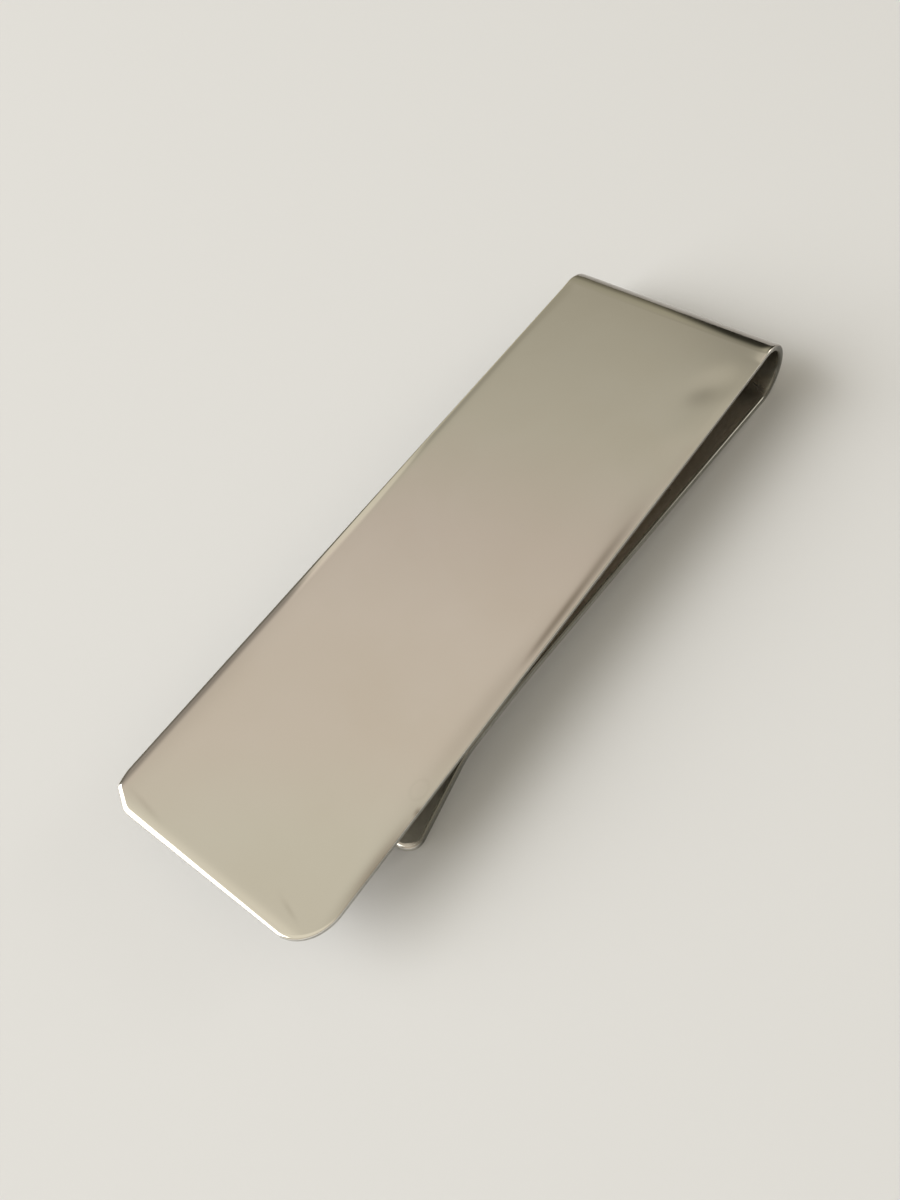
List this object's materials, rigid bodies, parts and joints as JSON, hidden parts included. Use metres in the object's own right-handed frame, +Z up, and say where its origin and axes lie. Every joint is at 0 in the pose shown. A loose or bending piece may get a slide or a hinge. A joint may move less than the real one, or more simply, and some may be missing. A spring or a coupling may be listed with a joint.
{
  "type": "money clip",
  "caption": "Money clip: a polished silver strip folded once, with a flat face plate and a sprung back leg whose crest presses folded notes against the plate.",
  "frame": {"origin": "on the table, under the middle of the clip's box; the clip lies closed on the round of its fold and on the end of its lip, plate up", "axes": "+X from the plate's free end towards the fold, +Y across the strip, +Z up from the table; the plate is tipped 1.19 degrees, fold end up, because that is how the clip lies"},
  "size_m": [0.0608, 0.019, 0.006],
  "materials": {
    "polished_silver": "polished"
  },
  "bodies": {
    "face": {"face_plate": "polished_silver"},
    "fold": {"spring_fold": "polished_silver"},
    "leg": {"leg_root": "polished_silver"},
    "grip": {"leg_span": "polished_silver", "grip_crest": "polished_silver", "lead_in_lip": "polished_silver"}
  },
  "joints": [
    {"name": "fold_flex", "type": "hinge", "parent": "face", "child": "fold", "pos_m": [0.02698, 0, 0.00599], "axis": [0, -1, 0], "range_deg": [0, 3.5], "stiffness_Nm_per_rad": 1.83},
    {"name": "leg_flex_1", "type": "hinge", "parent": "fold", "child": "leg", "pos_m": [0.0274, 0, 0.00002], "axis": [0, -1, 0], "range_deg": [0, 3.5], "stiffness_Nm_per_rad": 1.81},
    {"name": "leg_flex_2", "type": "hinge", "parent": "leg", "child": "grip", "pos_m": [0.01398, 0, 0.00148], "axis": [0, -1, 0], "range_deg": [0, 2.8], "stiffness_Nm_per_rad": 1.5}
  ],
  "couplings": [
    {"joint": "leg_flex_1", "follows": "fold_flex", "ratio": 1},
    {"joint": "leg_flex_2", "follows": "fold_flex", "ratio": 0.8}
  ]
}
